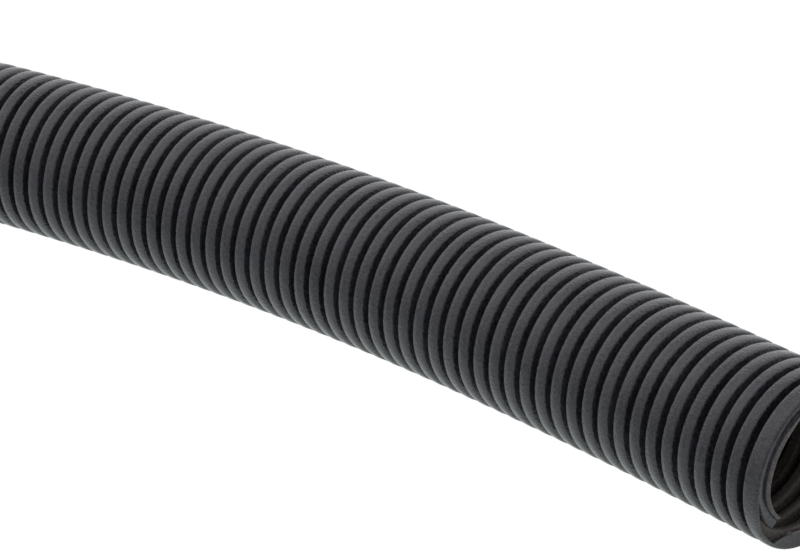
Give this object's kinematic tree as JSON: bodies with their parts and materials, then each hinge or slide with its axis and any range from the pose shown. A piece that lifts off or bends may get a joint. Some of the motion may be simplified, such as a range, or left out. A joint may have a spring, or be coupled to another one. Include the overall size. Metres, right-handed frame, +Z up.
{
  "type": "corrugated conduit",
  "caption": "Flexible corrugated conduit: a thin plastic wall pressed into rings, lying in a gentle curve, with open ends.",
  "frame": {"origin": "centre of the bounding box, on the floor that the conduit lies on", "axes": "+X along the straight run, towards the cut mouth; +Z up"},
  "size_m": [0.9988, 0.1279, 0.05],
  "materials": {
    "conduit_plastic": "satin dark grey plastic"
  },
  "bodies": {
    "root": {"conduit": "conduit_plastic"}
  },
  "joints": []
}
